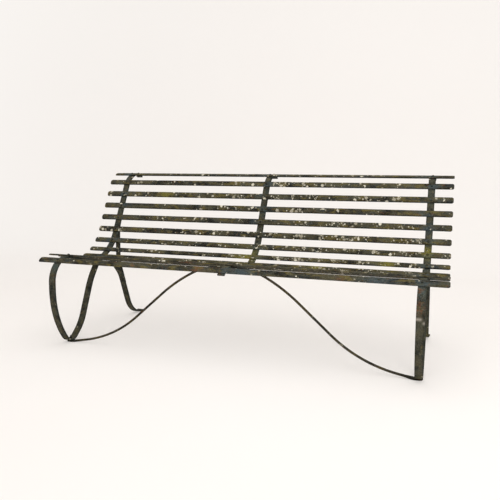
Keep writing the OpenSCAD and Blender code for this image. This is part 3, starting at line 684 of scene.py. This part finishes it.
# %% Back braces
lap = strap_thickness + gap
brace_above, brace_below, brace_radius, brace_hold, brace_tip = 18, 53, 145, 46, 15
brace_top, brace_head = upper.at(slat_places[brace_slat] - brace_above)
brace_low, brace_turn = upper.at(slat_places[brace_slat] + brace_below)
brace_start = brace_top - lap * unit(brace_head - 90)
brace_upper = brace_low - lap * unit(brace_turn - 90)
lap_line = ahead(rear_knee, rear_angle + 90, lap)
brace_lower = crossing(brace_upper, -90, lap_line, rear_angle)
brace_line = Path([brace_start, (*brace_upper, brace_radius), (*brace_lower, brace_radius),
                   ahead(lap_line, rear_angle, brace_hold + brace_tip)], path_step)
brace_rivet = ahead(rear_knee, rear_angle, brace_hold)
for side_name, x, seed in (("left", -end_x, 51), ("right", end_x, 63)):
    grid, s = bar(brace_line, brace_width, strap_thickness, x, seed, flats=(6, 2))
    add_piece(f"{side_name}_brace_bar", grid, "strap_paint", [f"{side_name}_back_brace"],
              **strap_marks(grid, x, brace_width))
print("brace:", round(brace_line.length), "mm")

# %% [markdown]
# ## The slats
# A slat is half-round iron, flat below and crowned above, with its ends cut and rounded. A
# plain bar section would catch the light on one flat face, where the real slat shows a light
# band along its crown between two dark edges. So the section is its own curve, and it narrows
# at each end on a quarter circle of 9 mm, which is the round seen from above.


# %% Section of a slat
def slat_section(steps=9):
    """Half width and height as shares: flat below with a small bevel, an upright edge, then a
    crown that falls away as a quarter ellipse raised to a soft power."""
    a = np.linspace(0, 90, steps)
    edge = slat_edge / slat_thickness
    up = np.stack([np.cos(np.radians(a)) ** 0.8, edge + (1 - edge) * np.sin(np.radians(a))], -1)
    under = np.array([[0.0, 0.0], [0.5, 0.0], [0.93, 0.0], [1.0, 0.14]])
    right = np.vstack([under, up])
    left = right[-2:0:-1] * [-1, 1]
    return np.vstack([right, left])


print("section of a slat:", len(slat_section()), "points")


# %% Lichen on the slats
# How thickly it grows on each slat, from the curl down to the front of the seat. It is thickest
# 0.35 m right of the middle, and the top five slats are nearly clean at their right end.
lichen_on_slat = np.array([0.35, 0.4, 0.7, 0.85, 0.6, 0.7, 1.0, 0.7, 0.8]
                          + [0.5, 0.3, 0.25, 0.25, 0.25, 0.2])
lichen_centre, lichen_spread = 0.35, 0.55
clean_slats, clean_from, clean_fade = 5, 0.45, 0.3
print("lichen:", lichen_on_slat)


# %% Lay the slats
def slat(i, seed):
    """The section carried along X at slat i's place. Its half width at distance d from an end
    is less by r - sqrt(r^2 - (r - d)^2) inside the 9 mm round, its height draws in by a third
    there, and both wander by fractions of a millimetre. The crown mark lightens the top of the
    section, partly as paint worn off the crown and partly as a painted highlight from the light
    above, and leaves the lower edges dark as painted shade. On the seat and on the topmost slat
    it reaches further down the sides."""
    r = slat_corner
    d = r * (1 - np.cos(np.linspace(0, np.pi / 2, 8)))
    x = np.concatenate([d, np.arange(r + 6, slat_length - r - 5, 6.0), slat_length - d[::-1]])
    ends = np.minimum(x, slat_length - x)
    short = np.maximum(r - ends, 0)
    inset = r - np.sqrt(r ** 2 - short ** 2)
    w = slat_widths[i] / 2 - inset - 0.35 * wander(x, seed, 500, 26)
    t = slat_thickness * (1 - 0.33 * (inset / r) ** 2) - 0.5 * wander(x, seed + 1, 260, 22)
    shape = slat_section()
    across, up = w[:, None] * shape[:, 0], t[:, None] * shape[:, 1]
    up = up + floor_of_slat[i]
    along, out = unit(slat_heads[i]), unit(slat_heads[i] - 90)
    grid = np.stack(np.broadcast_arrays(
        (x - slat_length / 2)[:, None],
        slat_points[i][0] - bench_depth / 2 + across * along[0] + up * out[0],
        slat_points[i][1] + across * along[1] + up * out[1],
    ), -1) * MM
    # The crown mark is worn paint and a painted highlight on top, with painted shade on the lower edges.
    worn_and_lit = 0.7 if i == 0 or i >= back_slats else 0.0
    crown = np.broadcast_to(np.clip((shape[:, 1] - 0.5 + worn_and_lit) / 0.4, 0, 1), across.shape)
    lines = np.array([-end_x, 0, end_x])
    away = np.min(np.abs(grid[..., 0, None] / MM - lines), -1)
    near = np.exp(-(away / 45) ** 2) * 0.6
    length_share = np.exp(-((grid[..., 0] - lichen_centre) / lichen_spread) ** 2)
    lichen = lichen_on_slat[i] * (0.3 + 0.7 * length_share) * (0.35 + 0.65 * crown)
    if i < clean_slats:
        lichen = lichen * (1 - 0.8 * np.clip((grid[..., 0] - clean_from) / clean_fade, 0, 1))
    return grid, marks_of(grid) | dict(crown=crown, crossing=near, lichen=lichen)


for i in range(slat_count):
    back = i < back_slats
    number = i + 1 if back else i - back_slats + 1
    name = f"{'back' if back else 'seat'}_slat_{number}"
    grid, marks = slat(i, 100 + 7 * i)
    add_piece(f"{name}_iron", grid, "slat_paint", [name], **marks)
print("slats:", slat_count, "of", slat_length, "mm")

# %% [markdown]
# ## The arched stretcher
# A round rod of 11 mm is drawn flat into a palm under each front foot and into a small pad
# under the middle strap. A round tube with separate plates would show seams that forging
# doesn't leave. The section is a rounded rectangle all the way: with its radius at half its
# size it is round, and where the hammer flattened it the width grows as the thickness falls.
# Like the ends of the bench it is made in lengths and welded, so it is cut after shaping.

# %% Set out the rod
rod_diameter, palm_width, palm_toe, palm_heel, palm_taper = 11, 32, 16, 9, 28
toe_run, toe_rise, toe_radius, heel_radius = 220, 40, 570, 40
foot_weld_run, crown_weld_run, rod_step = 16, 141, 5.0
rise_angle = 180 - math.degrees(math.atan2(toe_rise, toe_run))
palm_bend = (end_x - strap_width / 2 - setback(heel_radius, 180 - rise_angle), palm_thickness / 2,
             heel_radius)
palm_end = ahead(palm_bend, rise_angle, palm_heel)
rod_start = ahead(palm_end, rise_angle, palm_taper)
toe_corner = ahead(palm_bend, rise_angle, math.hypot(toe_run, toe_rise))
crown_half, crown_radius = 116, 255
shoulder_run, shoulder_drop, shoulder_radius = 136, 74, 760
crown_corner = (crown_half, pad_centre[1], crown_radius)
shoulder = np.array([crown_half + shoulder_run, pad_centre[1] - shoulder_drop])
steep = heading(toe_corner, shoulder)
gentle = heading(shoulder, crown_corner)
toe_space = np.linalg.norm(toe_corner - rod_start) - foot_weld_run - gap
shoulder_space = np.linalg.norm(shoulder - crown_corner[:2]) - setback(crown_radius, 180 - gentle)
shoulder_space = min(shoulder_space, crown_weld_run - gap)
print("the rod rises at", round(180 - steep, 1), "degrees")

# %% The rod's line and its welds
half_corners = [
    (end_x + palm_toe, palm_thickness / 2), palm_bend,
    (*toe_corner, fitted(toe_radius, rise_angle - steep, toe_space)),
    (*shoulder, fitted(shoulder_radius, steep - gentle, shoulder_space)), crown_corner,
]
other_half = [(-c[0], *c[1:]) for c in half_corners[::-1]]
rod_path = Path(half_corners + other_half, rod_step)
foot_weld = rod_path.near(ahead(rod_start, rise_angle, foot_weld_run))
crown_weld = rod_path.near(ahead(shoulder, steep, -crown_weld_run))
print("rod:", round(rod_path.length), "mm, welded at", round(foot_weld), "and", round(crown_weld))


# %% Forge the rod
def blend(s, start, length):
    """0 before start and 1 after start + length, along 3t^2 - 2t^3 between them."""
    t = np.clip((s - start) / length, 0, 1)
    return t * t * (3 - 2 * t)


def rod_surface(cuts, columns=28):
    """Rounded rectangle along the rod's path, width along Y. Width, thickness and corner
    radius pass from palm to rod to pad by blend(), the toe's half width is
    sqrt(r^2 - (r - d)^2), and the pad turns about X to lie as the strap above it does.
    There is a row at each of the cuts."""
    total = rod_path.length
    toe = palm_width / 2 * (1 - np.cos(np.linspace(0.06, np.pi / 2, 9)))
    inner = rod_path.run[(rod_path.run > palm_width / 2) & (rod_path.run < total - palm_width / 2)]
    middle = total / 2 + np.linspace(-40, 40, 33)
    s = np.unique(np.concatenate([toe, inner, middle, total - toe, cuts]).round(3))
    p, h = rod_path.at(s)
    ends = np.minimum(s, total - s)
    flat = 1 - blend(ends, rod_path.near(palm_end) - 4, palm_taper + 8)
    pad = 1 - blend(np.abs(s - total / 2), 13, 18)
    bite = np.clip(1 - ends / (palm_width / 2), 0, 1)
    toe_share = np.sqrt(np.maximum(1 - bite ** 2, 0.02))
    w = rod_diameter + (palm_width - rod_diameter) * flat + (pad_width - rod_diameter) * pad
    w = (w - 0.35 * wander(s, 71, 260, 30)) * toe_share
    t = rod_diameter - (rod_diameter - palm_thickness) * flat - (rod_diameter - pad_thickness) * pad
    t = (t - 0.3 * wander(s, 72, 260, 26)) * (1 - 0.35 * bite ** 6)
    radius = np.minimum(np.minimum(w, t) / 2, 5.5 - 3.4 * np.maximum(flat, pad))
    side, bend = bar_section((5, 2), columns // 4)
    across = side[:, 0] * (w / 2 - radius)[:, None] + bend[:, 0] * radius[:, None]
    up = side[:, 1] * (t / 2 - radius)[:, None] + bend[:, 1] * radius[:, None]
    lie = np.radians(wrapped(slat_heads[pad_slat] - 180)) * pad
    sideways = across * np.cos(lie)[:, None] - up * np.sin(lie)[:, None]
    upwards = across * np.sin(lie)[:, None] + up * np.cos(lie)[:, None]
    out = unit(h - 90)
    return s, np.stack([
        p[:, :1] + upwards * out[:, :1],
        rod_line - bench_depth / 2 + sideways,
        p[:, 1:] + upwards * out[:, 1:],
    ], -1) * MM


welds = (foot_weld, crown_weld, rod_path.length - crown_weld, rod_path.length - foot_weld)
s, grid = rod_surface(welds)
parts = ("right_stretcher_foot", "right_stretcher_rod", "stretcher_crown", "left_stretcher_rod",
         "left_stretcher_foot")
# The feet get a low crown, which keeps their paint dark as painted shade under the loops.
for part, piece in zip(parts, lengths(grid, s, welds)):
    add_piece(f"{part}_iron", piece, "rod_paint", [part],
              **plain_marks(piece, crown=0.4 if part.endswith("foot") else 1.0))
    print(part, len(piece), "rows of", piece.shape[1])

# %% [markdown]
# ## The rivets
# A rivet is set red hot: its ready-made head stays round, while the smith hammers the other
# end into a rough button. All rivets of a row share one profile turned about an axis, but
# equal heads would look like stampings. So each is pressed in by a few shallow lobes of its own.

# %% Profiles and places
rivet_head, head_height, tail_height, rivet_shank = 13.0, 4.5, 3.5, 8.0


def turned(frames, radii, heights, lobes, phases, depth, around=24):
    """A profile turned about each frame's axis. Every radius is also multiplied by
    1 - depth (1 + cos(lobes turn + phase)) / 2. frames holds the origins, the axes and two
    directions across them."""
    turn = np.arange(around) / around * 2 * np.pi
    uneven = 1 - depth / 2 * (1 + np.cos(lobes[:, None] * turn + phases[:, None]))
    radius = radii[None, :, None] * uneven[:, None, :]
    origin, axis, u, v = (f[:, None, None, :] for f in frames)
    return (origin + axis * heights[..., None, None]
            + u * (radius * np.cos(turn))[..., None] + v * (radius * np.sin(turn))[..., None]) * MM


def rivets(frames, low, high, seed):
    """Tail, shank and a domed head of radius r cos(a) and height h sin(a). The bars that a
    rivet holds lie from low below its origin to high above it."""
    rng = np.random.default_rng(seed)
    a = np.linspace(0, np.pi / 2, 7)[:-1]
    foot, neck, dome = rivet_tail / 2, rivet_shank / 2, rivet_head / 2
    radii = np.concatenate([
        [0.1, 0.55 * foot, 0.85 * foot, 0.985 * foot, foot, foot, neck, neck, 0.985 * dome],
        dome * np.cos(a), [0.1]])
    z_low = np.array([-1, -1, -0.86, -0.6, -0.3, 0, 0]) * tail_height
    heights = np.concatenate([z_low - low[:, None], high[:, None], high[:, None],
                              high[:, None] + 0.02 + head_height * np.sin(a) * 0.98,
                              high[:, None] + head_height * 0.99], axis=1)
    n = len(low)
    return turned(frames, radii, heights, rng.integers(3, 6, n), rng.uniform(0, 6.28, n), 0.05)


def frames_at(points, heads, x):
    """Origin, outward axis, and the two directions across it, at side-view points."""
    x_first = ((0, 0), (1, 0))
    origin = np.pad(points - [bench_depth / 2, 0], x_first)
    origin[:, 0] = x
    across = np.tile([1.0, 0, 0], (len(points), 1))
    return origin, np.pad(unit(heads - 90), x_first), across, np.pad(unit(heads), x_first)


print("rivet heads:", rivet_head, "by", head_height, "mm")

# %% Rivets of the slats
for row, x, seed in (("left", -end_x, 301), ("middle", 0.0, 302), ("right", end_x, 303)):
    low = np.array([rise(upper, s, -half, rivet_tail / 2) for s in slat_places]) + gap
    if row == "middle":
        low[pad_slat] = gap + pad_drop + pad_thickness
    else:
        low[[brace_slat, back_slats]] = gap + lap + half
    high = floor_of_slat + slat_thickness + gap - 0.3
    grids = rivets(frames_at(slat_points, slat_heads, x), low, high, seed)
    add_piece(f"{row}_slat_rivet_heads", grids, "rivet_paint", [f"{row}_slat_rivets"],
              **plain_marks(grids))
print("slat rivets:", 3 * slat_count)

# %% Rivets of the braces
spots = np.array([brace_rivet, brace_rivet])
origin, axis, u, v = frames_at(spots, np.full(2, rear_angle), np.array([-end_x, end_x]))
grids = rivets((origin, -axis, u, v), np.full(2, half + gap), np.full(2, lap + half + gap), 311)
add_piece("brace_rivet_heads", grids, "rivet_paint", ["brace_rivets"], **plain_marks(grids))
print("brace rivets:", len(spots))

# %% Rivets of the front feet
# A sunk cone below, the shank, and a drawn point above, turned about the upright axis.
inner = loop_radius - half
top = loop_bottom + half + gap + inner - math.sqrt(inner ** 2 - rivet_head ** 2 / 4)
radii = np.array([0.1, 4, 7.2, 4, 4, 6.3, 6.4, 5.6, 4.3, 3.2, 1.9, 0.8, 0.1])
point = top + np.array([0, 0, 1, 3.4, 7, 10, 13.2, 15.4, 15.9])
heights = np.array([0.2, 0.2, 0.2, 3.5, *point])
phases = np.array([np.random.default_rng(seed).uniform(0, 6.28) for seed in (321, 322)])
origin = np.array([[x, rod_line - bench_depth / 2, 0] for x in (-end_x, end_x)])
upright = [np.tile(direction, (2, 1)) for direction in ([0, 0, 1], [1, 0, 0], [0, 1, 0])]
grids = turned((origin, *upright), radii, np.tile(heights, (2, 1)), np.full(2, 4), phases, 0.06)
# Crown 0 keeps their paint dark all over, as painted shade inside the loops.
add_piece("foot_rivet_points", grids, "rivet_paint", ["foot_rivets"],
          **plain_marks(grids, lichen=0.0, crown=0.0))
print("foot rivets:", len(origin))

# %% [markdown]
# ## The studio floor
# The bench was photographed on a pale studio floor that runs up into the wall. A flat floor
# would show an edge behind the bench, so this one curves up at the back. It isn't part of the
# object, but it holds the soft shadows that set the feet down. Strong light would make it as
# pale as the real one, and bleach the bench as well. A haze that only the camera and
# reflections see does it instead.

# %% Rays that see the background
def background_rays(tree):
    """1 for rays from the camera and for reflected or transmitted ones, otherwise 0."""
    ray = add(tree, "ShaderNodeLightPath").outputs
    shiny = reckon(tree, "MAXIMUM", ray["Is Glossy Ray"], ray["Is Transmission Ray"])
    return reckon(tree, "MAXIMUM", ray["Is Camera Ray"], shiny)


print("the background is seen directly and in gloss")

# %% Shape of the studio floor
reach, flat_back, sweep = 9, 2.2, 0.8
# A strip swept along X: flat floor, a quarter circle of radius sweep, then a wall.
turn = np.linspace(0.1, np.pi / 2, 12)
x = np.linspace(-reach, reach, 3)
y = np.concatenate([np.linspace(-reach, flat_back, 8), flat_back + sweep * np.sin(turn),
                    np.full(3, flat_back + sweep)])
z = np.concatenate([np.zeros(8), sweep - sweep * np.cos(turn), [2.0, 4.0, 7.0]])
vertices = np.stack(np.broadcast_arrays(x, y[:, None], z[:, None]), -1).reshape(-1, 3)
corner = (np.arange(len(y) - 1)[:, None] * 3 + np.arange(2)).reshape(-1, 1)
faces = (corner + [0, 1, 4, 3]).tolist()
plaster = bpy.data.materials.new("matt_studio_floor")
floor = mesh_object("studio_floor", vertices, faces, plaster)
print("floor box in metres", vertices.min(0).round(2), vertices.max(0).round(2))

# %% Finish of the studio floor
haze_near, haze_far, haze_least = 2.2, 6.0, 0.43
tree = emptied(plaster)
where = add(tree, "ShaderNodeTexCoord").outputs["Object"]
mottle = add(tree, "ShaderNodeTexNoise", {"Vector": where, "Scale": 1.3, "Detail": 2.0}).outputs[0]
tint = add(tree, "ShaderNodeMix", {0: mottle, 6: linear("#f6f1ed"), 7: linear("#f9f5f2")}, data_type="RGBA")
paint = add(tree, "ShaderNodeBsdfDiffuse", {"Color": tint.outputs[2]}).outputs[0]
# The haze grows with the distance from the bench, so that no edge shows against the sky.
haze_colour = linear("#faf6f2")
away = add(tree, "ShaderNodeVectorMath", {0: where}, operation="LENGTH").outputs["Value"]
share = add(tree, "ShaderNodeMapRange", {"Value": away, "From Min": haze_near, "From Max": haze_far,
                                         "To Min": haze_least}).outputs[0]
share = reckon(tree, "MULTIPLY", background_rays(tree), share)
white = add(tree, "ShaderNodeEmission", {"Color": haze_colour}).outputs[0]
mixed = add(tree, "ShaderNodeMixShader", {0: share, 1: paint, 2: white})
add(tree, "ShaderNodeOutputMaterial", {"Surface": mixed.outputs[0]})
print("haze over the floor:", haze_least, "near the bench, 1 from", haze_far, "m away")

# %% [markdown]
# ## The light
# A photographer would light iron this dark from large soft boxes, so that its edges show
# without a glare. Small lamps would give hard shadows of every slat. Here an even sky does
# most of the work, one large box hangs over the bench, and a smaller one in front on the right
# lifts the faces that look at the camera.

# %% Sky
sky_strength = 0.77
world = bpy.data.worlds.new("studio")
bpy.context.scene.world = world
tree = emptied(world)
sky = add(tree, "ShaderNodeBackground", {"Color": linear("#fffdfa"), "Strength": sky_strength}).outputs[0]
haze = add(tree, "ShaderNodeBackground", {"Color": haze_colour}).outputs[0]
both = add(tree, "ShaderNodeMixShader", {0: background_rays(tree), 1: sky, 2: haze})
add(tree, "ShaderNodeOutputWorld", {"Surface": both.outputs[0]})
print("sky strength:", sky_strength)


# %% Soft boxes
def soft_lamp(name, place, aim, size, power):
    """A square area lamp at a place, turned to face a point."""
    lamp = bpy.data.lights.new(name, "AREA")
    lamp.size, lamp.energy = size, power
    thing = bpy.data.objects.new(name, lamp)
    thing.location = place
    thing.rotation_euler = (Vector(aim) - Vector(place)).to_track_quat("-Z", "Y").to_euler()
    bpy.context.scene.collection.objects.link(thing)


soft_lamp("overhead_softbox", (0.4, -0.6, 3.4), (0.2, 0, 0.2), 3.0, 42)
soft_lamp("front_softbox", (2.6, -2.6, 1.8), (0.9, 0, 0.4), 1.6, 34)
print("lamps: overhead and front")

# %% [markdown]
# ## The camera
# The picture was taken from the right of the bench's front, at about the height of its back.
# A camera turned by eye never fits all over, because every change moves all the edges at once.
# These angles, place and focal length were fitted to the slat ends, crossings and feet.

# %% Camera
yaw, pitch, roll = math.radians(18.39), math.radians(7.37), math.radians(0.43)
eye, sensor_width, focal_length = Vector((0.8959, -2.6909, 0.8154)), 36, 42.99
forward = Vector((-math.sin(yaw) * math.cos(pitch), math.cos(yaw) * math.cos(pitch), -math.sin(pitch)))
right = Vector((math.cos(yaw), math.sin(yaw), 0))
up = right.cross(forward)
across = right * math.cos(roll) + up * math.sin(roll)
upward = up * math.cos(roll) - right * math.sin(roll)
lens = bpy.data.cameras.new("camera")
lens.sensor_width, lens.lens = sensor_width, focal_length
camera = bpy.data.objects.new("camera", lens)
axes = Matrix((across, upward, -forward)).transposed().to_4x4()
camera.matrix_world = Matrix.Translation(eye) @ axes
bpy.context.scene.collection.objects.link(camera)
bpy.context.scene.camera = camera
bpy.context.scene.view_settings.view_transform = "Standard"
print("camera at", tuple(round(v, 3) for v in camera.location))
